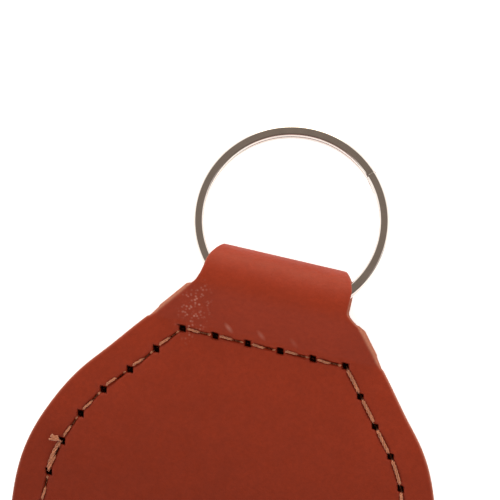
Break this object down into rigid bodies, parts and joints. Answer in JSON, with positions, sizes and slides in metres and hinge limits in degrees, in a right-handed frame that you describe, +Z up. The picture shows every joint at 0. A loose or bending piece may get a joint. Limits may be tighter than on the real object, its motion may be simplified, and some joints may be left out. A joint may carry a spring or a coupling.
{
  "type": "leather keychain fob",
  "caption": "Round leather key fob, folded over a split ring at its neck and closed by a lockstitched seam, lying on its back.",
  "frame": {"origin": "on the table, under the middle of the length and width of the keychain as it lies on its back", "axes": "+X across the fob to the right, +Y along the fob towards the ring, +Z up from the table, out of the fob's front"},
  "size_m": [0.0544, 0.0796, 0.0093],
  "materials": {
    "leather": "smooth satin grain",
    "thread": "matt twisted thread",
    "nickel": "polished"
  },
  "bodies": {
    "fob": {"leather_fob": "leather", "needle_thread": "thread", "bobbin_thread": "thread"},
    "ring": {"split_ring": "nickel"}
  },
  "joints": [
    {"name": "ring_swing", "type": "hinge", "parent": "fob", "child": "ring", "pos_m": [0, 0.01789, 0.00465], "axis": [1, 0, 0], "range_deg": [-62.4, 87.6]}
  ]
}
